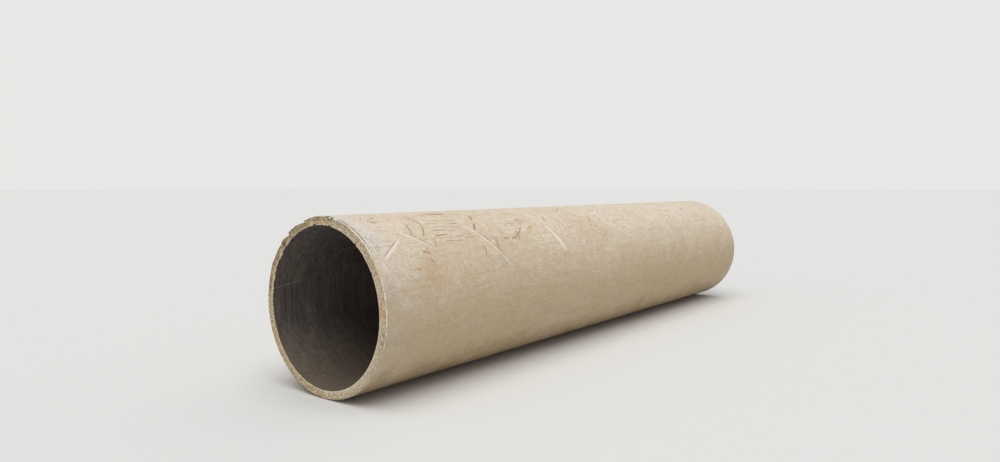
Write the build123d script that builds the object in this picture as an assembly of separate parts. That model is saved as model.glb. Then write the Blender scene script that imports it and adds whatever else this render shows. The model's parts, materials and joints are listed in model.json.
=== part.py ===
from build123d import *
import os

# Driving dimensions, in millimetres and degrees.
# The pipe is one straight length of thick glass-fibre composite, made in one piece.
LENGTH = 6000.0
OUTER_DIAMETER = 1229.0
WALL = 60.0

# The outer corner of both ends is bevelled, so that a sleeve coupling can be pushed on.
BEVEL_LENGTH = 12.0
BEVEL_DEPTH = 7.0

# The sawn edge of the bore is broken by hand at both ends.
BORE_EDGE = 2.0

# The outer laminate of the near end is knocked off in places along the rim. It comes away
# in layers, so each break is a flight of terraces.
LAYER = 6.0

# Each break gives the angle from the top where it starts, the angle where it ends, how deep
# it is there, and how far back along the barrel its outermost layer is gone.
RIM_BREAKS = [
    (-64.0, -54.0, 11.0, 14.0),
    (-52.6, -47.2, 14.0, 22.0),
    (-44.8, -36.2, 28.0, 48.0),
    (-27.4, -17.3, 24.0, 74.0),
    (-17.3, -7.0, 12.0, 40.0),
    (5.2, 11.4, 16.0, 30.0),
]
BREAK_OVERCUT = 5.0

OUTER_RADIUS = OUTER_DIAMETER / 2
BORE_RADIUS = OUTER_RADIUS - WALL
NEAR_END = -LENGTH / 2
FAR_END = LENGTH / 2


def turned(points, arc=360.0):
    """A section drawn as (along the pipe, out from its axis), turned about the axis."""
    section = Plane.XZ * make_face(Polyline(*points, close=True))
    return revolve(section, Axis.X, revolution_arc=arc)


def barrel():
    """The whole wall: sawn end faces, a bevel outside and a broken edge at the bore."""
    return turned([
        (NEAR_END + BORE_EDGE, BORE_RADIUS),
        (NEAR_END, BORE_RADIUS + BORE_EDGE),
        (NEAR_END, OUTER_RADIUS - BEVEL_DEPTH),
        (NEAR_END + BEVEL_LENGTH, OUTER_RADIUS),
        (FAR_END - BEVEL_LENGTH, OUTER_RADIUS),
        (FAR_END, OUTER_RADIUS - BEVEL_DEPTH),
        (FAR_END, BORE_RADIUS + BORE_EDGE),
        (FAR_END - BORE_EDGE, BORE_RADIUS),
    ])


def lost_layer(first, last, inner, outer, run):
    """What one layer of the laminate has lost between two angles, open to the front."""
    ring = turned([
        (NEAR_END - BREAK_OVERCUT, inner),
        (NEAR_END - BREAK_OVERCUT, outer),
        (NEAR_END + run, outer),
        (NEAR_END + run, inner),
    ], arc=last - first)
    return Rot(first, 0, 0) * ring


def rim_break(first, last, depth, run):
    """A break that goes one layer deeper at a time from its first angle to its last."""
    layers = max(1, round(depth / LAYER))
    thickness = depth / layers
    lost = []
    for layer in range(layers):
        share = layer / layers
        outer = OUTER_RADIUS - layer * thickness
        top = outer + BREAK_OVERCUT if layer == 0 else outer
        lost.append(lost_layer(first + share * (last - first), last, outer - thickness, top, run * (1 - share)))
    return lost


def culvert_pipe():
    """The pipe as it lies on level ground, touching it along its lowest line."""
    pipe = barrel()
    for one in RIM_BREAKS:
        for lost in rim_break(*one):
            pipe -= lost
    return Pos(0, 0, OUTER_RADIUS) * pipe


os.makedirs("parts", exist_ok=True)
export_step(culvert_pipe(), "parts/culvert_pipe.step")
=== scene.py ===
import bpy
import bmesh
import json
import math
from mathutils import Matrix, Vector, noise


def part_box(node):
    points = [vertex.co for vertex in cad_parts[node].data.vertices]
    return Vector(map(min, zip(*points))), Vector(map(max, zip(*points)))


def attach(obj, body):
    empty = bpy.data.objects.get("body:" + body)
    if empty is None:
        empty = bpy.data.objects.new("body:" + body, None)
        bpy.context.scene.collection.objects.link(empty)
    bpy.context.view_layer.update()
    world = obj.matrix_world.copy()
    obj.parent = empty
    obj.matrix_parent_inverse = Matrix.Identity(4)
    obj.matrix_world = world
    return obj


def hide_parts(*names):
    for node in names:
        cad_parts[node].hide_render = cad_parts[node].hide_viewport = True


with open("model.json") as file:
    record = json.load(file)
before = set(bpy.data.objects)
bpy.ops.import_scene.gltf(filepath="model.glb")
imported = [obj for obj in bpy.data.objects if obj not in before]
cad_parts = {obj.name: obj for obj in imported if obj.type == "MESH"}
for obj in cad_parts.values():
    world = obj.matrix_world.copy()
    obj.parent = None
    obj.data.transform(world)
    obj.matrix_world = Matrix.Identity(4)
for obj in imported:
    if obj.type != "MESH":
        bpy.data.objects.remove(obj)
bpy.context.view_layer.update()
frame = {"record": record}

# The camera stands left of the near end, a little above the pipe, at eye height, as the
# photo's camera did. It comes first, because the view is fixed by it.
camera_place = (-5.974, -3.820, 1.427)
camera_down_deg = 3.63
camera_heading_deg = 37.95
sensor_width_mm = 36.0
photo_width_px = 1000
photo_focal_px = 712
camera = bpy.data.cameras.new("camera")
camera.sensor_width = sensor_width_mm
camera.lens = photo_focal_px * sensor_width_mm / photo_width_px
camera_object = bpy.data.objects.new("camera", camera)
camera_object.location = camera_place
camera_object.rotation_euler = (
    math.radians(90 - camera_down_deg), 0, math.radians(camera_heading_deg - 90))
bpy.context.scene.collection.objects.link(camera_object)
bpy.context.scene.camera = camera_object

# The pipe wall: glass fibre, sand and resin laid up and cured as one wall, sawn to
# length, bevelled outside, and knocked about on the rim of its near end.
# Its sizes come from the frame, so that it lies exactly where the solid lies.
wall_low, wall_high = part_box("culvert_pipe")
stated = {mount["name"]: mount["dims"] for mount in frame["record"]["mounts"] if mount["dims"]}
near_end = wall_low.x
far_end = wall_high.x
outer_radius = min(wall_high.z - wall_low.z, wall_high.y - wall_low.y) / 2
bore_radius = stated["bore"]["r_mm"] / 1000
axis_height = (wall_low.z + wall_high.z) / 2
bevel_length = (far_end - near_end - stated["barrel"]["length_mm"] / 1000) / 2
bevel_depth = 0.007
bore_edge = (far_end - near_end - stated["bore"]["length_mm"] / 1000) / 2
segments = 1200
# The knocks reach no further back from the near end than this, and its mesh is finer there.
rim_zone = 0.20
on_the_face = 1e-5


def polar(place):
    """The angle from the top in degrees, positive towards the camera's side, and the radius."""
    across = -place.y
    up = place.z - axis_height
    return math.degrees(math.atan2(across, up)), math.hypot(across, up)


def on_wall(x, angle, radius):
    """The place at a distance along the axis, an angle from the top and a radius."""
    turn = math.radians(angle)
    return Vector((x, -radius * math.sin(turn), axis_height + radius * math.cos(turn)))


def ease(value):
    """0 to 1, with soft ends."""
    value = min(1.0, max(0.0, value))
    return value * value * (3 - 2 * value)


def waver(first, second, third):
    """Smooth noise about zero, the same on each run."""
    return noise.noise(Vector((first, second, third)))


# The edge of the near rim as the knocks have left it: an angle, how many millimetres of
# the outer laminate are gone there and how far back along the barrel they are gone.
# The edge runs straight from one to the next. The last ones are the notch near the top.
broken_edge = [
    (-66, 0, 8), (-61, 8, 12), (-57, 11, 14), (-54, 9, 14), (-52.4, 8, 12), (-50, 12, 18),
    (-47.6, 14, 24), (-47.0, 0, 6), (-45.0, 0, 6), (-44.4, 6, 10), (-42, 14, 26), (-40, 20, 36),
    (-37.6, 29, 56), (-36.9, 27, 50), (-36.5, 3, 8), (-33, 5, 14), (-30.6, 9, 24), (-27.4, 7, 24),
    (-24.6, 13, 46), (-22, 19, 66), (-18.4, 30, 110), (-17.9, 28, 104), (-17.5, 6, 24),
    (-14, 9, 30), (-10.9, 8, 26), (-7.4, 8, 24), (-6.9, 0, 4), (3.7, 0, 4), (4.2, 14, 26),
    (6.7, 17, 30), (7.1, 4, 8), (8.6, 4, 8), (9.0, 12, 24), (10.2, 9, 18), (10.8, 0, 4),
]
layer_thickness = 0.006
# The spall that has left the face hollow low on the left: angles, depth and hollow.
spall = (-88.0, -68.0, 0.038, 0.004)
# Cracks between two layers: first and last angle, radius, width and depth.
open_seams = [
    (-7.5, 5.0, 0.6040, 0.0040, 0.006), (-7.2, 4.5, 0.5880, 0.0044, 0.008),
    (12.0, 27.0, 0.6020, 0.0030, 0.004), (-36.0, -26.0, 0.5960, 0.0034, 0.008),
    (-57.0, -45.0, 0.5920, 0.0040, 0.012), (34.0, 58.0, 0.5930, 0.0026, 0.003),
    (-34.0, -14.0, 0.5760, 0.0036, 0.007), (-66.0, -52.0, 0.5780, 0.0036, 0.006),
]
# Chips out of the edge of the bore: middle angle, half its length, depth and run.
bore_chips = [
    (-9.8, 3.0, 0.026, 0.006), (-8.2, 2.3, 0.013, 0.040), (-12.4, 1.0, 0.024, 0.006),
    (-54.5, 2.9, 0.019, 0.008), (-41.5, 3.8, 0.010, 0.005), (-17.5, 2.0, 0.009, 0.006),
    (8.6, 1.4, 0.012, 0.034), (37.4, 0.7, 0.017, 0.034), (-83.8, 0.5, 0.014, 0.006),
    (-81.4, 0.7, 0.016, 0.006), (-75.2, 0.5, 0.030, 0.003), (47.0, 1.2, 0.005, 0.005),
    (-31.5, 2.5, 0.006, 0.004), (28.0, 5.0, 0.004, 0.003), (44.0, 3.5, 0.004, 0.003),
    (-24.5, 0.8, 0.006, 0.008), (22.0, 0.6, 0.006, 0.007), (61.0, 0.9, 0.005, 0.006),
    (-73.0, 1.6, 0.010, 0.006),
]
# A break, seam or hole shows fully once it runs this much further back than its first sign.
full_step = 0.006
# A chip that runs further back than this is painted dark as the shade of a deep hole, not
# white as a fresh break.
deep_chip = 0.010


def along_edge(angle):
    """How deep the edge is broken off at an angle and how far back, in metres."""
    for (first, depth, run), (last, next_depth, next_run) in zip(broken_edge, broken_edge[1:]):
        if first <= angle < last:
            share = (angle - first) / (last - first)
            deep = depth + share * (next_depth - depth)
            back = run + share * (next_run - run)
            return deep / 1000, back / 1000
    return 0.0, 0.0


def broken_back(angle, radius):
    """How far back the outer laminate is broken off at this angle and radius."""
    ragged = 0.16 * waver(angle * 2.1, radius * 190, 3.1)
    deep, run = along_edge(angle + ragged)
    deep *= 1 + 0.16 * waver(angle * 1.3, 2.2, 7.7)
    into = radius - (outer_radius - deep)
    if into <= 0 or deep <= 0:
        return 0.0
    layers = max(1, round(deep / layer_thickness))
    layer = min(layers, 1 + int(into / layer_thickness))
    torn = 1.0 + 0.25 * waver(angle * 0.8, layer * 5.3, 1.4)
    splinters = 1 + 0.2 * waver(angle * 3.0, radius * 420, 8.2)
    return run * torn * splinters * layer / layers


def hollowed_back(angle, radius):
    """How far the spall has left the outer half of the face behind the rest."""
    first, last, depth, hollow = spall
    across = min(angle - first, last - angle) / 3.0
    inward = (radius - outer_radius + depth) / layer_thickness + 0.9 * waver(angle * 0.5, 4.0, 1.0)
    return hollow * ease(across) * ease(inward)


def chipped_back(angle, radius):
    """The same for the chips in the edge of the bore."""
    run_back = 0.0
    for middle, half_length, depth, run in bore_chips:
        share = ease(1.3 - abs(angle - middle) / half_length)
        deep = depth * share * (1 + 0.4 * waver(angle * 1.9, 1.7, middle))
        into = bore_radius + deep - radius
        if into > 0:
            run_back = max(run_back, run * min(1.0, 2.2 * into / depth))
    return run_back


def cracked_back(angle, radius):
    """How deep an open seam between two layers runs here."""
    deepest = 0.0
    for first, last, middle, width, depth in open_seams:
        share = ease(min(angle - first, last - angle) / 2.0)
        wander = 0.0020 * waver(angle * 0.3, middle * 90, 5.0)
        here = 1 - abs(radius - middle - wander) / (width / 2)
        if share > 0 and here > 0:
            deepest = max(deepest, depth * share * min(1.0, 1.6 * here))
    return deepest


def torn_share(angle):
    """How torn the face is: torn between the breaks and beside the notch, sawn elsewhere."""
    by_the_breaks = ease((angle + 64) / 8) * ease((-6.0 - angle) / 1.5)
    by_the_notch = 0.6 * ease((angle - 4.5) / 2) * ease((14 - angle) / 3)
    return max(by_the_breaks, by_the_notch)


def face_grain(angle, radius, torn):
    """How far the face stands back from its plane: saw marks, and more where it is torn."""
    sawn_grain = 0.0004 * (1 + waver(angle * 1.7, radius * 260, 0.4))
    tufts = 0.0055 * torn * max(0.0, waver(angle * 0.75, radius * 120, 9.1) + 0.25)
    fibres = 0.0030 * torn * abs(waver(angle * 2.3, radius * 300, 6.3))
    return sawn_grain + tufts + fibres


# More than the wall has corners, so that two of their numbers can be written as one.
corner_limit = 1000000


def by_corners(part):
    """A number for an edge or a face that depends only on which corners it joins."""
    numbers = sorted(corner.index for corner in part.verts)
    return numbers[0] * corner_limit + numbers[-1]


# The skin is finished in three stretches, which meet at these distances from the near end.
skin_joins = (0.75, 1.40)
# The near face is meshed in two parts. The inner one is this deep, and a little coarser.
inner_part = 0.027
# The wall's section: each corner's place along the axis, its radius, and how many cuts
# divide the run from there to the next corner.
section = [
    (near_end, bore_radius, 12),
    (near_end, bore_radius + inner_part, 19),
    (near_end, outer_radius, 15),
    (near_end + rim_zone, outer_radius, 1),
    (near_end + skin_joins[0], outer_radius, 0),
    (near_end + skin_joins[1], outer_radius, 2),
    (far_end - bevel_length, outer_radius, 1),
    (far_end, outer_radius - bevel_depth, 4),
    (far_end, bore_radius + bore_edge, 0),
    (far_end - bore_edge, bore_radius, 4),
    (near_end + rim_zone, bore_radius, 6),
]
bm = bmesh.new()
corners = [bm.verts.new(on_wall(x, 0, radius)) for x, radius, cuts in section]
runs = [bm.edges.new(ends) for ends in zip(corners, corners[1:] + corners[:1])]
for run, (x, radius, cuts) in zip(runs, section):
    if cuts:
        bmesh.ops.subdivide_edges(bm, edges=[run], cuts=cuts)
bmesh.ops.spin(bm, geom=bm.verts[:] + bm.edges[:], cent=(0, 0, axis_height), axis=(1, 0, 0),
               angle=math.tau, steps=segments, use_merge=True)
bmesh.ops.remove_doubles(bm, verts=bm.verts, dist=1e-6)
bmesh.ops.recalc_face_normals(bm, faces=bm.faces)
# The spin lists its edges and faces in an order that changes from run to run. Sorted by
# their corners, they come out in the same order each time.
bm.verts.index_update()
bm.edges.sort(key=by_corners)
bm.faces.sort(key=by_corners)

# The knocks push the face and the first stretch of wall behind it back from the near end.
broken = bm.verts.layers.float.new("broken")
fresh = bm.verts.layers.float.new("fresh")
hollow = bm.verts.layers.float.new("hollow")
for vert in bm.verts:
    back = vert.co.x - near_end
    if back > rim_zone - on_the_face:
        continue
    angle, radius = polar(vert.co)
    bevel = bevel_length * max(0.0, 1 - (outer_radius - radius) / bevel_depth)
    edge = max(0.0, bore_radius + bore_edge - radius)
    outside = broken_back(angle, radius)
    inside = chipped_back(angle, radius)
    seam = cracked_back(angle, radius)
    behind = hollowed_back(angle, radius)
    offset = max(bevel, edge, outside, inside, seam, behind)
    if back < on_the_face:
        torn = torn_share(angle)
        offset += face_grain(angle, radius, torn)
        knocked_off = ease((outside - bevel) / full_step)
        vert[broken] = max(knocked_off, ease(seam / full_step), 0.55 * torn)
        chip_hole = ease((inside - deep_chip) / full_step)
        vert[fresh] = ease(inside / 0.003) * (1 - chip_hole)
        seam_gap = ease((seam - 0.003) / full_step)
        notch_root = ease((outside - 0.016) / 0.02) * ease((angle - 3) / 2)
        # The hollow share is where shade is painted: deep chips, open seams, the notch's root and,
        # weakly, the spall.
        vert[hollow] = max(seam_gap, chip_hole, notch_root, 0.4 * ease(behind / 0.004))
    else:
        offset = back + offset * (1 - back / rim_zone)
    vert.co = on_wall(near_end + offset, angle, radius)

# The wall unrolled: along the barrel one way and round it the other, in metres.
unrolled = bm.loops.layers.uv.new("unrolled")
for face in bm.faces:
    middle, radius = polar(face.calc_center_median())
    for loop in face.loops:
        angle, radius = polar(loop.vert.co)
        angle = middle + (angle - middle + 180) % 360 - 180
        loop[unrolled].uv = (loop.vert.co.x - near_end, math.radians(angle) * outer_radius)
    face.smooth = True
sharp_corner = math.radians(24)
for edge in bm.edges:
    if len(edge.link_faces) == 2 and edge.calc_face_angle() > sharp_corner:
        edge.smooth = False

sawn_slot = 0
bore_slot = 1
skin_slot = 2
facing_an_end = 0.12
on_the_round = 0.001
for face in bm.faces:
    middle = face.calc_center_median()
    angle, radius = polar(middle)
    if abs(face.normal.x) > facing_an_end:
        face.material_index = sawn_slot
    elif radius > outer_radius - on_the_round:
        joins_passed = sum(middle.x - near_end > join for join in skin_joins)
        face.material_index = skin_slot + joins_passed
    elif radius < bore_radius + on_the_round:
        face.material_index = bore_slot
    else:
        face.material_index = sawn_slot

wall_mesh = bpy.data.meshes.new("pipe_wall")
bm.to_mesh(wall_mesh)
bm.free()
pipe_wall = bpy.data.objects.new("pipe_wall", wall_mesh)
bpy.context.scene.collection.objects.link(pipe_wall)

# The skin: sand-coloured resin cast against a mould, scraped and stained outdoors. Painted light
# lies on its upper flank, painted shade mixed with soil on its lower flank, and painted shade
# behind the bevel and beside the scrapes. Pale scrapes and brown scuffs from chains and forks
# lie where the photo has them.


def shade(red, green, blue):
    """A colour written as 0 to 255 on screen, as the shaders want it."""
    def linear(level):
        level = level / 255
        return level / 12.92 if level <= 0.04045 else ((level + 0.055) / 1.055) ** 2.4
    return (linear(red), linear(green), linear(blue), 1.0)


def new_finish(name):
    """A material with only its surface shader, and the tree that feeds it."""
    finish = bpy.data.materials.new(name)
    finish.use_nodes = True
    return finish, finish.node_tree, finish.node_tree.nodes["Principled BSDF"]


def feed(tree, socket, value):
    """A value linked to a socket, or set there when it is a plain one."""
    if isinstance(value, bpy.types.NodeSocket):
        tree.links.new(value, socket)
    else:
        socket.default_value = value


def put(tree, kind, inputs=None, **settings):
    """One node, with its settings and what its inputs are fed."""
    node = tree.nodes.new(kind)
    for name, value in settings.items():
        setattr(node, name, value)
    for name, value in (inputs or {}).items():
        feed(tree, node.inputs[name], value)
    return node


def cloudy(tree, place, scale, detail=3.0, roughness=0.55, distortion=0.0):
    """Soft noise from 0 to 1."""
    clouds = put(tree, "ShaderNodeTexNoise", {
        "Vector": place, "Scale": scale, "Detail": detail, "Roughness": roughness,
        "Distortion": distortion})
    return clouds.outputs["Fac"]


def between(tree, value, low, high, to_low=0.0, to_high=1.0):
    """A value spread from one range to another, held at both ends."""
    spread = put(tree, "ShaderNodeMapRange", {
        "Value": value, "From Min": low, "From Max": high, "To Min": to_low, "To Max": to_high})
    return spread.outputs["Result"]


def reckon(tree, operation, first, second=0.0):
    """Plain arithmetic on two values."""
    return put(tree, "ShaderNodeMath", {0: first, 1: second}, operation=operation).outputs[0]


def product(tree, *values):
    """Values multiplied together, from the first to the last."""
    result = values[0]
    for value in values[1:]:
        result = reckon(tree, "MULTIPLY", result, value)
    return result


def hypotenuse(tree, one_way, other_way):
    """How long two values are when they are laid square to each other."""
    squares = reckon(tree, "ADD", product(tree, one_way, one_way), product(tree, other_way, other_way))
    return reckon(tree, "SQRT", squares)


def vector(tree, operation, first, second, output=0):
    """Plain arithmetic on two vectors."""
    node = put(tree, "ShaderNodeVectorMath", {0: first, 1: second}, operation=operation)
    return node.outputs[output]


def stretched(tree, place, scale):
    """A place multiplied along each axis, so that a pattern runs long one way."""
    return vector(tree, "MULTIPLY", place, scale)


def laid_over(tree, share, under, over, way="MIX"):
    """One colour over another, by a share from 0 to 1."""
    node = put(tree, "ShaderNodeMix", data_type="RGBA", blend_type=way)
    for name, kind, value in (("Factor", "VALUE", share), ("A", "RGBA", under), ("B", "RGBA", over)):
        feed(tree, next(s for s in node.inputs if s.name == name and s.type == kind), value)
    return next(s for s in node.outputs if s.type == "RGBA")


def tinted(tree, colour, value, low, high, most, tone, way="MIX"):
    """A tone laid over a colour, from nothing where a value is low to the most where it is high."""
    return laid_over(tree, between(tree, value, low, high, 0.0, most), colour, tone, way)


def stained(tree, colour, share, strength, tone):
    """A tone laid over a colour by a share times a strength."""
    return laid_over(tree, product(tree, share, strength), colour, tone)


def bumped(tree, surface, relief, strength):
    """Fine relief, in metres, on a surface."""
    bump = put(tree, "ShaderNodeBump", {"Height": relief, "Strength": strength, "Distance": 1.0})
    tree.links.new(bump.outputs["Normal"], surface.inputs["Normal"])


def unrolled_place(millimetres, degrees):
    """A place on the unrolled wall: millimetres one way and degrees from the top the other."""
    return Vector((millimetres / 1000, math.radians(degrees) * outer_radius, 0))


def scrape_group():
    """Node group: how much of one bowed scrape lies here, ragged along its edges."""
    group = bpy.data.node_groups.new("scrape", "ShaderNodeTree")
    for name, kind in (("Place", "Vector"), ("From", "Vector"), ("Run", "Vector"), ("Aside", "Vector"),
                       ("Length", "Float"), ("Bow", "Float"), ("Width", "Float"), ("Ragged", "Float")):
        group.interface.new_socket(name, in_out="INPUT", socket_type="NodeSocket" + kind)
    group.interface.new_socket("Share", in_out="OUTPUT", socket_type="NodeSocketFloat")
    given = group.nodes.new("NodeGroupInput").outputs
    result = group.nodes.new("NodeGroupOutput")
    here = vector(group, "SUBTRACT", given["Place"], given["From"])
    forward = vector(group, "DOT_PRODUCT", here, given["Run"], "Value")
    aside = vector(group, "DOT_PRODUCT", here, given["Aside"], "Value")
    along = put(group, "ShaderNodeMapRange", {"Value": forward, "From Max": given["Length"]})
    along = along.outputs["Result"]
    bulge = product(group, along, reckon(group, "SUBTRACT", 4.0, product(group, along, 4.0)))
    off_line = reckon(group, "SUBTRACT", aside, product(group, bulge, given["Bow"]))
    beyond = reckon(group, "SUBTRACT", forward, product(group, along, given["Length"]))
    away = hypotenuse(group, off_line, beyond)
    taper = between(group, bulge, 0.0, 0.45, 0.4, 1.0)
    half_width = product(group, given["Width"], 0.5)
    half_width = product(group, half_width, product(group, taper, given["Ragged"]))
    inside = reckon(group, "SUBTRACT", 1.0, reckon(group, "DIVIDE", away, half_width))
    group.links.new(between(group, inside, 0.0, 0.85), result.inputs["Share"])
    return group


scrape = scrape_group()


def strokes(tree, place, ragged, marks):
    """The share of several scrapes taken together. Each gives its two ends as (millimetres
    from the near end, degrees from the top), its width and how far it bows, in millimetres."""
    total = None
    for first, last, width, bow in marks:
        start = unrolled_place(*first)
        end = unrolled_place(*last)
        run = (end - start).normalized()
        share = put(tree, "ShaderNodeGroup", {
            "Place": place, "From": start, "Run": run, "Aside": Vector((run.y, -run.x, 0)),
            "Length": (end - start).length, "Bow": bow / 1000, "Width": width / 1000,
            "Ragged": ragged}, node_tree=scrape)
        share = share.outputs["Share"]
        total = share if total is None else reckon(tree, "MAXIMUM", total, share)
    return total


def blot(tree, place, where, half_length, half_angle):
    """A soft round patch on the unrolled wall: 1 at its middle, 0 at its edge."""
    size = Vector((1000 / half_length, 1 / (math.radians(half_angle) * outer_radius), 1))
    away = vector(tree, "MULTIPLY", vector(tree, "SUBTRACT", place, unrolled_place(*where)), size)
    away = put(tree, "ShaderNodeVectorMath", {0: away}, operation="LENGTH").outputs["Value"]
    return between(tree, away, 1.0, 0.25)


cream = shade(228, 214, 193)
tan = shade(214, 195, 167)
chalk = shade(222, 216, 212)
rose = shade(218, 194, 174)
# A lighter tone painted on the upper flank as light.
painted_top_light_tone = shade(238, 228, 214)
worn_pale = shade(244, 235, 220)
worn_dark = shade(184, 160, 128)
mottle_dark = shade(190, 166, 134)
mottle_pale = shade(230, 222, 208)
streak_brown = shade(178, 154, 122)
fine_streak_brown = shade(170, 146, 114)
fleck_dark = shade(180, 158, 126)
fleck_pale = shade(240, 230, 214)
grain_dark = shade(150, 126, 94)
grain_pale = shade(240, 232, 218)
crazing_brown = shade(138, 118, 92)
# The grey of the painted shade line behind the bevel.
groove_shade_grey = shade(126, 118, 104)
# A yellow-brown laid down the lower flank: partly soil, partly painted shade.
soil_and_shade_yellow = shade(178, 154, 112)
soil_brown = shade(142, 118, 86)
splash_brown = shade(134, 108, 76)
pale_scrapes = [
    ((108, 55.0), (310, 42.3), 25, 0), ((356, 34.6), (490, 44.6), 20, 0),
    ((468, 43.0), (596, 52.2), 12, 0),
]
chalky_scrapes = [
    ((1100, 39.5), (1322, 69.0), 19, 0), ((2040, 38.6), (2098, 54.0), 36, 6),
    ((2098, 52.0), (2130, 64.0), 68, 0),
]
faint_scrapes = [
    ((1036, 33.4), (1112, 40.4), 30, 0), ((306, 42.2), (360, 38.6), 10, 0),
    ((240, 26.0), (356, 34.4), 12, 0), ((1282, 65.4), (1345, 71.0), 13, 0),
    ((1228, 49.6), (1246, 51.6), 32, 0), ((1196, 58.6), (1206, 61.0), 32, 0),
    ((3020, 28.4), (3250, 16.8), 20, 0), ((3120, 29.0), (3300, 19.8), 14, 0),
    ((1974, 24.6), (1996, 25.6), 18, 0), ((372, 31.0), (404, 35.5), 26, 0),
    ((52, 57.0), (86, 62.0), 22, 0), ((80, 46.8), (87, 49.6), 12, 0),
    ((3760, 16.0), (3960, 10.5), 12, 0), ((62, 24.0), (58, 50.0), 6, 4),
    ((4180, 22.0), (4520, 19.0), 26, 0), ((2300, 44.0), (2420, 36.0), 9, 0),
]
# Painted shadow along one side of the pale and chalky scrapes.
scrape_shadows = [
    ((110, 52.9), (288, 42.0), 9, 0), ((452, 39.2), (572, 49.2), 11, 0),
    ((1128, 40.6), (1216, 51.0), 16, 2), ((1214, 51.0), (1306, 64.0), 8, 2),
    ((2078, 40.0), (2120, 50.0), 13, 5),
]
brown_scuffs = [
    ((602, 14.0), (634, 30.0), 17, 6), ((633, 28.5), (556, 40.4), 15, 10),
    ((498, 27.7), (452, 39.4), 14, 2), ((646, 42.6), (600, 51.6), 8, 0),
    ((1258, 19.8), (1220, 26.4), 28, 0), ((1190, 31.4), (1126, 38.6), 27, -3),
    ((1105, 52.0), (1084, 60.0), 13, 4), ((2146, 28.4), (2126, 33.0), 26, 0),
    ((2990, 31.1), (3020, 30.0), 18, 0), ((2689, 10.0), (2449, 19.9), 11, 8),
    ((2800, 38.3), (2885, 31.2), 8, 0), ((262, 16.8), (318, 14.8), 17, 0),
    ((210, 20.0), (264, 24.0), 24, 0), ((168, 17.8), (194, 16.4), 15, 0),
    ((43, 37.4), (80, 42.6), 10, 7), ((70, 45.8), (94, 50.6), 9, -7),
    ((90, 44.6), (99, 49.6), 8, 5), ((30, 27.0), (74, 36.0), 4, 6),
    ((1720, 30.6), (1772, 30.0), 14, 0), ((880, 11.9), (1030, 13.8), 24, 0),
]
clay_marks = [
    ((1378, 48.7), (1452, 48.3), 30, 0), ((1482, 49.6), (1556, 47.8), 30, 0),
    ((1602, 43.4), (1570, 50.6), 32, 0), ((1602, 46.0), (1690, 39.6), 24, 0),
    ((470, 52.4), (520, 54.4), 30, 0), ((330, 63.6), (372, 64.8), 14, 0),
    ((1296, 47.0), (1300, 50.4), 14, 0), ((1330, 48.6), (1350, 48.6), 12, 0),
    ((500, 50.0), (528, 52.4), 18, 0), ((452, 50.6), (468, 55.0), 14, 0),
    ((496, 57.0), (506, 61.0), 18, 0), ((1552, 46.6), (1530, 50.6), 22, 0),
    ((2840, 56.6), (2950, 51.4), 12, 0), ((1780, 40.8), (1886, 38.2), 15, 0),
    ((1280, 47.4), (1252, 57.2), 24, 6),
]
long_dashes = [
    ((826, 11.6), (1034, 13.8), 34, 0), ((700, 28.0), (800, 28.3), 9, 0),
    ((938, 25.8), (1028, 26.2), 12, 0), ((928, 29.7), (1022, 29.3), 15, 0),
    ((708, 32.2), (876, 32.5), 10, 2), ((688, 36.1), (822, 36.7), 12, 2),
    ((838, 37.3), (922, 37.8), 10, 0), ((668, 41.3), (812, 40.5), 15, 2),
    ((858, 43.3), (952, 42.9), 10, 0), ((720, 46.4), (902, 46.8), 8, 2),
    ((730, 24.5), (862, 24.9), 7, 0), ((880, 33.6), (1002, 34.0), 8, 0),
    ((960, 45.1), (1062, 44.4), 8, 0), ((5030, 28.0), (5114, 28.6), 12, 0),
]
faint_dashes = [
    ((1560, 33.9), (1686, 34.5), 14, 0), ((1588, 37.0), (1642, 36.5), 14, 0),
    ((1430, 27.2), (1704, 26.4), 9, 0), ((1396, 33.2), (1502, 32.7), 8, 0),
    ((1590, 40.2), (1650, 38.8), 12, 0), ((1690, 30.8), (1780, 31.4), 14, 0),
    ((1706, 34.6), (1776, 34.4), 12, 0), ((1744, 41.4), (1806, 42.8), 12, 0),
    ((1640, 23.6), (1704, 22.0), 12, 0),
]
# The marks in the order that they were made, the painted shadow beside the scrapes among
# them: how strong each kind is, and its colour.
weathering = [
    (long_dashes, 0.95, (136, 114, 84)), (faint_dashes, 0.6, (152, 126, 94)),
    (clay_marks, 0.75, (160, 108, 74)), (brown_scuffs, 0.9, (120, 96, 70)),
    (faint_scrapes, 0.7, (236, 230, 222)), (scrape_shadows, 0.85, (138, 122, 100)),
    (chalky_scrapes, 1.0, (240, 230, 214)), (pale_scrapes, 0.9, (242, 234, 226)),
]
unbroken_marks = (pale_scrapes, chalky_scrapes)
cut_in_marks = (pale_scrapes, brown_scuffs)
# A mark is drawn on a stretch of the skin from this far off, so that none is cut at a join.
mark_margin = 60
# Broad stains: the middle, half the length in millimetres, half the angle, and the colour.
stains = [
    ((2680, 44.0), 420, 24.0, (208, 178, 146)), ((480, 68.0), 170, 17.0, (202, 162, 126)),
    ((430, 16.0), 170, 9.0, (232, 208, 190)), ((410, 37.0), 150, 9.0, (212, 192, 162)),
    ((3900, 60.0), 1700, 17.0, (222, 208, 190)), ((0, 61.0), 45, 7.0, (212, 196, 148)),
    ((70, 76.0), 70, 12.0, (204, 200, 198)), ((1250, 66.0), 130, 6.0, (196, 184, 172)),
    ((1830, 44.0), 110, 8.0, (214, 194, 148)),
]


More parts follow.
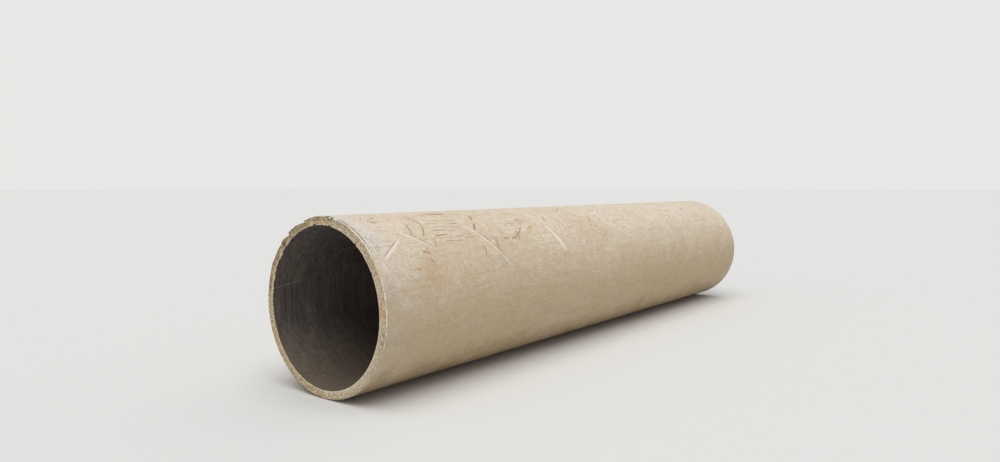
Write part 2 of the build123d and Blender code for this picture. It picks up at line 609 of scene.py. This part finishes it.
def skin_finish(name, first, last):
    """The skin between two distances from the near end, in metres, with the marks there."""
    skin, tree, surface = new_finish(name)
    place = put(tree, "ShaderNodeTexCoord").outputs["Object"]
    flat_place = put(tree, "ShaderNodeUVMap", uv_map="unrolled").outputs["UV"]
    from_near_end = put(tree, "ShaderNodeSeparateXYZ", {0: flat_place}).outputs["X"]
    height = put(tree, "ShaderNodeSeparateXYZ", {0: place}).outputs["Z"]
    reaches_near_end = first < 0.1
    reaches_sunny_part = last > 1

    broad = between(tree, cloudy(tree, place, 1.3, 4.0, 0.55, 0.5), 0.38, 0.64)
    colour = laid_over(tree, broad, cream, tan)
    rosy = cloudy(tree, stretched(tree, place, (1.0, 1.5, 1.5)), 2.6, 3.0, 0.55, 0.3)
    colour = tinted(tree, colour, rosy, 0.5, 0.7, 0.55, rose)
    if reaches_near_end:
        cloud = between(tree, cloudy(tree, place, 5.0, 4.0, 0.6), 0.34, 0.58, 0.15, 1.0)
        pale_end = product(tree, between(tree, from_near_end, 0.34, 0.05), cloud)
        colour = stained(tree, colour, pale_end, 0.85, chalk)
    if reaches_sunny_part:
        # Painted light: the upper flank is made lighter, more so further from the near end.
        sunny_top = between(tree, height, 0.86, 1.10)
        painted_top_light = product(tree, between(tree, from_near_end, 1.0, 2.2), sunny_top)
        colour = stained(tree, colour, painted_top_light, 0.38, painted_top_light_tone)
        coarse = cloudy(tree, stretched(tree, place, (1.0, 1.6, 1.6)), 34.0, 3.0, 0.7)
        further = between(tree, from_near_end, 0.8, 1.8)
        rubbed = product(tree, between(tree, coarse, 0.48, 0.34, 0.0, 0.25), further)
        colour = laid_over(tree, rubbed, colour, worn_pale)
        dulled = product(tree, between(tree, coarse, 0.5, 0.66, 0.0, 0.3), further)
        colour = laid_over(tree, dulled, colour, worn_dark)
    for where, half_length, half_angle, tone in stains:
        if first * 1000 - half_length < where[0] < last * 1000 + half_length:
            patch = blot(tree, flat_place, where, half_length, half_angle)
            colour = stained(tree, colour, patch, 0.6, shade(*tone))

    mottle = cloudy(tree, place, 16.0, 6.0, 0.66)
    colour = tinted(tree, colour, mottle, 0.42, 0.7, 0.4, mottle_dark)
    colour = tinted(tree, colour, mottle, 0.5, 0.28, 0.35, mottle_pale)
    streak = cloudy(tree, stretched(tree, place, (0.8, 16.0, 16.0)), 2.6, 6.0, 0.72)
    colour = tinted(tree, colour, streak, 0.53, 0.7, 0.5, streak_brown)
    fine_streak = cloudy(tree, stretched(tree, place, (1.0, 9.0, 9.0)), 22.0, 3.0, 0.6)
    colour = tinted(tree, colour, fine_streak, 0.56, 0.72, 0.32, fine_streak_brown)
    flecks = cloudy(tree, place, 88.0, 2.0, 0.6)
    colour = tinted(tree, colour, flecks, 0.5, 0.64, 0.4, fleck_dark)
    colour = tinted(tree, colour, flecks, 0.48, 0.36, 0.35, fleck_pale)
    grain = cloudy(tree, place, 230.0, 3.0, 0.75)
    colour = tinted(tree, colour, grain, 0.52, 0.72, 0.35, grain_dark)
    colour = tinted(tree, colour, grain, 0.46, 0.3, 0.3, grain_pale)
    relief = product(tree, mottle, 0.0012)
    for part, depth in ((grain, 0.00028), (streak, 0.0007), (fine_streak, 0.0003)):
        relief = reckon(tree, "ADD", relief, product(tree, part, depth))

    ragged = between(tree, cloudy(tree, flat_place, 85.0, 3.0, 0.7), 0.25, 0.75, 0.45, 1.5)
    patchy = between(tree, cloudy(tree, flat_place, 75.0, 3.0, 0.7), 0.38, 0.54, 0.55, 1.0)
    for marks, strength, tone in weathering:
        here = [mark for mark in marks if max(mark[0][0], mark[1][0]) > first * 1000 - mark_margin
                and min(mark[0][0], mark[1][0]) < last * 1000 + mark_margin]
        if not here:
            continue
        share = strokes(tree, flat_place, ragged, here)
        if marks not in unbroken_marks:
            share = product(tree, share, patchy)
        colour = stained(tree, colour, share, strength, shade(*tone))
        if marks in cut_in_marks:
            relief = reckon(tree, "SUBTRACT", relief, product(tree, share, 0.0012))

    cells = put(tree, "ShaderNodeTexVoronoi", {"Vector": flat_place, "Scale": 26.0},
                feature="DISTANCE_TO_EDGE")
    crazed = between(tree, cells.outputs["Distance"], 0.035, 0.0)
    crazed_here = between(tree, cloudy(tree, flat_place, 7.0, 2.0), 0.56, 0.64)
    crazed_near = between(tree, from_near_end, 0.9, 0.3, 0.25, 1.0)
    crazed = product(tree, crazed, crazed_here, crazed_near)
    colour = stained(tree, colour, crazed, 0.45, crazing_brown)
    if reaches_near_end:
        # Painted shade of a groove in the skin just behind the bevel, strongest towards the camera's
        # side.
        groove_shade = product(tree, between(tree, from_near_end, 0.030, 0.020),
                           blot(tree, flat_place, (0, 27), 400, 30),
                           between(tree, cloudy(tree, place, 30.0, 3.0), 0.36, 0.52, 0.3, 1.0))
        colour = laid_over(tree, groove_shade, colour, groove_shade_grey)

    # Yellower and darker down the flank, partly soil and partly painted shade; brown soil on the
    # underside.
    soil_and_shade_line = between(tree, cloudy(tree, place, 5.0, 5.0, 0.65), 0.0, 1.0, -0.25, 0.25)
    soil_and_shade_line = reckon(tree, "ADD", height, soil_and_shade_line)
    colour = tinted(tree, colour, soil_and_shade_line, 1.07, 0.55, 0.55, soil_and_shade_yellow)
    colour = tinted(tree, colour, soil_and_shade_line, 0.30, 0.03, 0.7, soil_brown)
    splash = product(tree, between(tree, height, 0.66, 0.12),
                     between(tree, cloudy(tree, place, 52.0, 4.0, 0.7), 0.6, 0.7))
    colour = stained(tree, colour, splash, 0.5, splash_brown)
    tree.links.new(colour, surface.inputs["Base Color"])

    bumped(tree, surface, relief, 0.85)
    tree.links.new(between(tree, mottle, 0.3, 0.7, 0.5, 0.74), surface.inputs["Roughness"])
    surface.inputs["Specular IOR Level"].default_value = 0.14
    return skin


skins = [
    skin_finish("pipe_skin_1", 0.0, skin_joins[0]),
    skin_finish("pipe_skin_2", skin_joins[0], skin_joins[1]),
    skin_finish("pipe_skin_3", skin_joins[1], far_end - near_end),
]

# The sawn end: laminate of chopped glass and sand in resin, browned by the weather, with
# darker torn laminate in the breaks, white fresh chips and painted shade in its holes, seams and
# recesses. A bevel worn white outside and a pale lip by the bore are partly painted highlight.
peat = (106, 84, 54)
umber = (136, 112, 76)
clay = (160, 122, 86)
dun = (170, 147, 115)
lichen = (164, 164, 136)
olive = (174, 162, 106)
moss = (212, 208, 150)
flax = (218, 202, 162)
ochre = (210, 166, 96)
straw = (236, 204, 148)
blush = (198, 162, 140)
pink = (218, 196, 176)
# The dark painted as shade in holes.
hole_shade = (70, 55, 32)
bruise = (253, 241, 220)
pale_resin = (236, 216, 180)
# Patches on the near face: the middle in millimetres from the axis and degrees from the
# top, half the depth in millimetres, half the angle, how strong, and the tone.
face_patches = [
    ((588, -83), 30, 4.5, 0.5, pink), ((580, -71.5), 30, 5.0, 0.8, straw),
    ((602, -62), 20, 7.0, 1.0, umber), ((578, -62), 26, 7.0, 0.2, peat),
    ((580, -56.6), 14, 1.0, 0.6, umber), ((598, -45), 24, 4.6, 1.0, peat),
    ((572, -44.8), 28, 5.0, 1.0, peat), ((588, -40.6), 14, 1.8, 0.9, clay),
    ((596, -35.2), 24, 2.2, 0.9, peat), ((572, -35.6), 18, 1.8, 0.9, umber),
    ((574, -28), 30, 4.0, 1.0, olive), ((598, -30), 12, 4.0, 0.5, umber),
    ((580, -20.4), 26, 2.2, 0.8, umber), ((594, -17.0), 14, 1.3, 0.8, umber),
    ((574, -15.6), 16, 2.4, 1.0, pale_resin), ((594, -12.6), 14, 2.0, 0.3, umber),
    ((592, -8.8), 12, 1.8, 0.5, umber), ((588, -4.2), 12, 3.2, 0.5, umber),
    ((572, -3.4), 12, 1.4, 0.5, olive), ((600, -1.5), 9, 6.0, 0.5, straw),
    ((600, 2.5), 10, 3.2, 0.6, straw), ((576, 3.2), 18, 3.6, 1.0, straw),
    ((578, 12.8), 17, 4.2, 0.9, moss), ((600, 12.6), 14, 2.6, 0.5, dun),
    ((603, 17.5), 16, 3.6, 0.8, lichen), ((590, 20.2), 16, 1.4, 0.6, umber),
    ((600, 23), 14, 3.2, 0.6, dun), ((568, 22), 13, 6.0, 0.6, pink),
    ((588, 28.5), 24, 4.0, 0.75, dun), ((582, 36), 16, 4.0, 0.3, dun),
    ((598, 40), 16, 2.2, 0.7, blush), ((600, 45.5), 14, 3.6, 0.4, pale_resin),
    ((590, 49), 18, 3.0, 0.4, dun), ((568, 58), 12, 2.6, 0.6, pink),
    ((598, 63), 16, 3.2, 0.6, olive), ((584, 86), 36, 10.0, 1.0, ochre),
    ((590, 104), 40, 9.0, 0.6, clay),
]
# Brown stains that darken all of these, placed the same way.
face_stains = [
    ((572, -45.2), 44, 5.4, (232, 216, 194)), ((578, -62), 44, 8.0, (240, 228, 220)),
    ((582, -74), 40, 8.0, (255, 246, 238)), ((582, 36), 60, 9.0, (250, 248, 244)),
    ((582, 55), 60, 12.0, (244, 238, 226)),
]
# Small spots laid on last, placed the same way: painted shade in the holes and in the notch near
# the top, white bruises and dirt.
face_spots = [
    ((600, 7.4), 10, 1.6, hole_shade), ((613, 5.0), 9, 1.0, peat), ((610, 9.4), 10, 1.0, hole_shade),
    ((598, 10.3), 6, 1.0, peat), ((611, 7.8), 8, 1.0, bruise), ((614, 44.4), 4, 0.7, bruise),
    ((609, 44.1), 4, 1.0, umber), ((610, 13.4), 5, 1.2, bruise), ((578, -9.6), 5, 1.8, bruise),
    ((566, -12.2), 11, 0.6, bruise), ((573, -0.2), 14, 0.7, clay), ((568, 37.6), 8, 0.7, hole_shade),
    ((586, -70.4), 7, 1.0, bruise), ((572, -56.8), 9, 0.8, peat), ((600, -54.0), 6, 1.0, umber),
    ((602, -65.8), 7, 1.1, umber), ((600, -2.6), 3, 3.0, umber), ((579, -3.8), 2.5, 3.0, flax),
]
# The laminate's own colour, from the bore at 0 to the outside at 1.
band_stops = [
    (0.0, (224, 208, 186)), (0.22, (214, 197, 168)), (0.5, (204, 184, 152)), (0.8, (194, 176, 144)),
    (1.0, (198, 184, 160)),
]
yellowing = shade(251, 245, 208)
layer_shadow = shade(206, 194, 168)
clump_dark = shade(210, 198, 170)
clump_pale = shade(242, 230, 208)
strand_dark = shade(200, 182, 152)
strand_pale = shade(240, 228, 204)
speck_dark = shade(184, 168, 138)
speck_pale = shade(246, 236, 216)
glass_white = shade(240, 230, 208)
# Pale resin at the bore's lip, and a painted highlight along it.
pale_lip_and_highlight = shade(234, 224, 206)
torn_brown = shade(134, 114, 80)
splinter_pale = shade(222, 208, 182)
chip_white = shade(240, 224, 198)
bevel_grey = shade(166, 158, 136)
# White of the worn bevel, and a painted highlight along it.
worn_white_and_highlight = shade(252, 240, 226)
edge_yellow = shade(220, 204, 154)
# The dark painted as shade in holes, seams and recesses.
recess_shade_tone = shade(64, 52, 34)

sawn, tree, surface = new_finish("sawn_laminate")
place = put(tree, "ShaderNodeTexCoord").outputs["Object"]
flat_place = put(tree, "ShaderNodeUVMap", uv_map="unrolled").outputs["UV"]
round_wall = put(tree, "ShaderNodeSeparateXYZ", {0: flat_place}).outputs["Y"]
axes = put(tree, "ShaderNodeSeparateXYZ", {0: place})
up = reckon(tree, "SUBTRACT", axes.outputs["Z"], axis_height)
across = axes.outputs["Y"]
radius = hypotenuse(tree, up, across)
wander = cloudy(tree, place, 26.0, 4.0, 0.65)
sideways = cloudy(tree, place, 34.0, 3.0, 0.6)
# The far end's face is moved out of reach of the patches and spots, which are the near one's.
far_away = product(tree, reckon(tree, "GREATER_THAN", axes.outputs["X"], 0.0), 10.0)
on_face = put(tree, "ShaderNodeCombineXYZ", {
    "X": reckon(tree, "ADD", radius, between(tree, wander, 0.2, 0.8, -0.012, 0.012)),
    "Y": reckon(tree, "ADD", round_wall, between(tree, sideways, 0.2, 0.8, -0.014, 0.014)),
    "Z": far_away}).outputs[0]
flat_ring = put(tree, "ShaderNodeCombineXYZ", {"X": radius, "Y": round_wall, "Z": far_away}).outputs[0]

into_wall = reckon(tree, "ADD", radius, between(tree, wander, 0.0, 1.0, -0.012, 0.012))
bands = put(tree, "ShaderNodeValToRGB", {"Fac": between(tree, into_wall, bore_radius, outer_radius)})
ramp = bands.color_ramp
while len(ramp.elements) < len(band_stops):
    ramp.elements.new(0.5)
for element, (where, tone) in zip(ramp.elements, band_stops):
    element.position = where
    element.color = shade(*tone)
colour = bands.outputs["Color"]
for middle, half_depth, half_angle, strength, tone in face_patches:
    patch = blot(tree, on_face, middle, half_depth, half_angle)
    colour = stained(tree, colour, patch, strength, shade(*tone))
yellowed = between(tree, round_wall, 0.14, 0.04)
colour = laid_over(tree, yellowed, colour, yellowing, "MULTIPLY")

wavy_radius = reckon(tree, "ADD", radius, product(tree, wander, 0.01))
layer_place = put(tree, "ShaderNodeCombineXYZ", {
    "X": product(tree, wavy_radius, 260.0), "Y": product(tree, round_wall, 9.0),
    "Z": product(tree, axes.outputs["X"], 40.0)})
layer_lines = cloudy(tree, layer_place.outputs[0], 1.0, 4.0, 0.65)
colour = tinted(tree, colour, layer_lines, 0.48, 0.64, 0.8, layer_shadow, "MULTIPLY")
clumps = cloudy(tree, place, 46.0, 5.0, 0.74)
uneven = between(tree, round_wall, 0.42, 0.22, 0.45, 1.0)
dark_clumps = product(tree, between(tree, clumps, 0.5, 0.64), uneven)
colour = laid_over(tree, dark_clumps, colour, clump_dark, "MULTIPLY")
colour = tinted(tree, colour, clumps, 0.49, 0.36, 0.6, clump_pale)
strands = cloudy(tree, stretched(tree, flat_ring, (110.0, 34.0, 1.0)), 1.0, 3.0, 0.65, 0.4)
dark_strands = product(tree, between(tree, strands, 0.52, 0.64), uneven)
colour = laid_over(tree, dark_strands, colour, strand_dark, "MULTIPLY")
colour = tinted(tree, colour, strands, 0.5, 0.36, 0.7, strand_pale)
speckle = cloudy(tree, place, 105.0, 4.0, 0.7)
torn_part = between(tree, round_wall, 0.20, 0.10, 0.4, 1.0)
specks = product(tree, between(tree, speckle, 0.5, 0.62), torn_part)
colour = laid_over(tree, specks, colour, speck_dark, "MULTIPLY")
colour = tinted(tree, colour, speckle, 0.47, 0.36, 0.5, speck_pale)
glass = cloudy(tree, stretched(tree, place, (1.0, 1.0, 1.6)), 240.0, 3.0, 0.7, 1.2)
colour = tinted(tree, colour, glass, 0.56, 0.68, 0.65, glass_white)
for middle, half_depth, half_angle, tone in face_stains:
    patch = blot(tree, on_face, middle, half_depth, half_angle)
    colour = laid_over(tree, patch, colour, shade(*tone), "MULTIPLY")
beads = between(tree, cloudy(tree, flat_place, 46.0, 3.0, 0.7), 0.4, 0.6, 0.2, 1.0)
# A pale band beside the bore: partly pale resin, partly a painted highlight at the bore's edge.
bore_lip_and_highlight = product(tree, between(tree, radius, bore_radius + 0.009, bore_radius + 0.004), beads,
                   between(tree, round_wall, 0.08, 0.16, 0.4, 0.9))
colour = laid_over(tree, bore_lip_and_highlight, colour, pale_lip_and_highlight)

split = put(tree, "ShaderNodeAttribute", attribute_name="broken").outputs["Fac"]
split = product(tree, split, between(tree, clumps, 0.36, 0.62, 1.0, 0.45))
colour = stained(tree, colour, split, 0.5, torn_brown)
splinters = cloudy(tree, stretched(tree, place, (0.5, 1.0, 1.0)), 130.0, 2.0, 0.6, 2.0)
splinters = product(tree, between(tree, splinters, 0.54, 0.64), split)
colour = stained(tree, colour, splinters, 0.8, splinter_pale)
fresh_chip = put(tree, "ShaderNodeAttribute", attribute_name="fresh").outputs["Fac"]
fresh_chip = product(tree, fresh_chip, between(tree, speckle, 0.46, 0.64, 1.0, 0.5))
colour = stained(tree, colour, fresh_chip, 0.65, chip_white)

across_bevel = between(tree, radius, outer_radius - bevel_depth, outer_radius)
sound = reckon(tree, "SUBTRACT", 1.0, split)
greyed = product(tree, between(tree, across_bevel, 0.02, 0.12), sound)
colour = stained(tree, colour, greyed, 0.6, bevel_grey)
bare = blot(tree, on_face, (612, 20), 40, 8.0)
not_bare = reckon(tree, "SUBTRACT", 1.0, product(tree, bare, 0.6))
soiled = blot(tree, on_face, (612, 62), 40, 10.0)
not_soiled = reckon(tree, "SUBTRACT", 1.0, product(tree, soiled, 0.7))
# The outer part of the bevel made white: partly worn white resin, partly a painted highlight along the
# edge.
worn_and_highlit = product(tree, beads, not_bare, not_soiled,
               between(tree, round_wall, 0.10, 0.125, 0.15, 1.0),
               between(tree, round_wall, 1.3, 1.0, 0.3, 1.0),
               sound, between(tree, across_bevel, 0.38, 0.52))
colour = laid_over(tree, worn_and_highlit, colour, worn_white_and_highlight)
yellow_edge = product(tree, soiled, between(tree, across_bevel, 0.1, 0.5, 0.0, 0.8))
colour = laid_over(tree, yellow_edge, colour, edge_yellow)
# Painted shade in the holes, seams and recesses, from the hollow share.
painted_recess_shade = put(tree, "ShaderNodeAttribute", attribute_name="hollow").outputs["Fac"]
colour = stained(tree, colour, painted_recess_shade, 0.9, recess_shade_tone)
for middle, half_depth, half_angle, tone in face_spots:
    spot = blot(tree, flat_ring, middle, half_depth, half_angle)
    colour = stained(tree, colour, spot, 0.95, shade(*tone))
tree.links.new(colour, surface.inputs["Base Color"])

relief = product(tree, clumps, 0.0050)
for part, depth in ((layer_lines, 0.0022), (speckle, 0.0016), (glass, 0.0005)):
    relief = reckon(tree, "ADD", relief, product(tree, part, depth))
bumped(tree, surface, relief, 0.9)
tree.links.new(between(tree, speckle, 0.3, 0.7, 0.68, 0.92), surface.inputs["Roughness"])
surface.inputs["Specular IOR Level"].default_value = 0.25

# The bore: a dull brown-grey resin liner under dust, with faint rings left by the layup
# and a paler deposit low down.
liner_brown = shade(112, 103, 97)
liner_grey = shade(90, 84, 81)
ring_pale = shade(134, 124, 113)
drip_dark = shade(64, 56, 52)
drip_pale = shade(146, 132, 118)
silt_brown = shade(120, 102, 80)
dust_pale = shade(146, 135, 120)
tide_pale = shade(180, 168, 162)
liner, tree, surface = new_finish("bore_liner")
place = put(tree, "ShaderNodeTexCoord").outputs["Object"]
flat_place = put(tree, "ShaderNodeUVMap", uv_map="unrolled").outputs["UV"]
height = put(tree, "ShaderNodeSeparateXYZ", {0: place}).outputs["Z"]
broad = between(tree, cloudy(tree, place, 2.0, 4.0), 0.34, 0.68)
colour = laid_over(tree, broad, liner_brown, liner_grey)
rings = cloudy(tree, stretched(tree, place, (24.0, 1.2, 1.2)), 1.0, 5.0, 0.7)
colour = tinted(tree, colour, rings, 0.5, 0.7, 0.5, ring_pale)
drips = cloudy(tree, stretched(tree, place, (30.0, 30.0, 1.6)), 1.0, 4.0, 0.7)
colour = tinted(tree, colour, drips, 0.5, 0.66, 0.6, drip_dark)
colour = tinted(tree, colour, drips, 0.46, 0.32, 0.5, drip_pale)
silt_edge = between(tree, cloudy(tree, place, 6.0, 4.0), 0.0, 1.0, -0.12, 0.12)
colour = tinted(tree, colour, reckon(tree, "ADD", height, silt_edge), 0.45, 0.1, 0.45, silt_brown)
dust = cloudy(tree, place, 70.0, 5.0, 0.7)
colour = tinted(tree, colour, dust, 0.5, 0.72, 0.45, dust_pale)
tide_line = strokes(tree, flat_place, 1.0, [((0, -81.6), (300, -76.8), 10, 0)])
colour = stained(tree, colour, tide_line, 0.5, tide_pale)
tree.links.new(colour, surface.inputs["Base Color"])
bumped(tree, surface, reckon(tree, "ADD", product(tree, dust, 0.0008), product(tree, rings, 0.001)), 0.8)
surface.inputs["Roughness"].default_value = 0.62
surface.inputs["Specular IOR Level"].default_value = 0.3

for finish in (sawn, liner, *skins):
    wall_mesh.materials.append(finish)
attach(pipe_wall, "root")
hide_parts("culvert_pipe")

# The studio: a wide pale floor under a pale sky, and one broad soft light from above, a
# little from the left and from the camera's side. None of it belongs to the pipe.
floor_half_width = 300.0
floor_tone = shade(228, 227, 224)
sky_tone = shade(250, 252, 255)
backdrop_tone = shade(232, 232, 230)
sky_strength = 0.44
overhead_strength = 1.9
overhead_spread_deg = 60
overhead_from = (-0.235, -0.24, 1.0)
floor_mesh = bpy.data.meshes.new("floor")
bm = bmesh.new()
bmesh.ops.create_grid(bm, x_segments=1, y_segments=1, size=floor_half_width)
bm.to_mesh(floor_mesh)
bm.free()
floor = bpy.data.objects.new("floor", floor_mesh)
bpy.context.scene.collection.objects.link(floor)
pale, tree, surface = new_finish("pale_floor")
surface.inputs["Base Color"].default_value = floor_tone
surface.inputs["Roughness"].default_value = 0.95
surface.inputs["Specular IOR Level"].default_value = 0.0
floor_mesh.materials.append(pale)

world = bpy.data.worlds.new("studio")
bpy.context.scene.world = world
world.use_nodes = True
tree = world.node_tree
sky = tree.nodes["Background"]
sky.inputs["Color"].default_value = sky_tone
sky.inputs["Strength"].default_value = sky_strength
shown = put(tree, "ShaderNodeBackground", {"Color": backdrop_tone, "Strength": 1.0})
rays = put(tree, "ShaderNodeLightPath")
seen = reckon(tree, "MAXIMUM", rays.outputs["Is Camera Ray"], rays.outputs["Is Glossy Ray"])
mixed = put(tree, "ShaderNodeMixShader", {"Fac": seen, 1: sky.outputs[0], 2: shown.outputs[0]})
tree.links.new(mixed.outputs[0], tree.nodes["World Output"].inputs["Surface"])

overhead = bpy.data.lights.new("overhead", "SUN")
overhead.energy = overhead_strength
overhead.angle = math.radians(overhead_spread_deg)
overhead_object = bpy.data.objects.new("overhead", overhead)
overhead_object.rotation_euler = Vector(overhead_from).to_track_quat("Z", "Y").to_euler()
bpy.context.scene.collection.objects.link(overhead_object)

bpy.context.scene.view_settings.view_transform = "Standard"
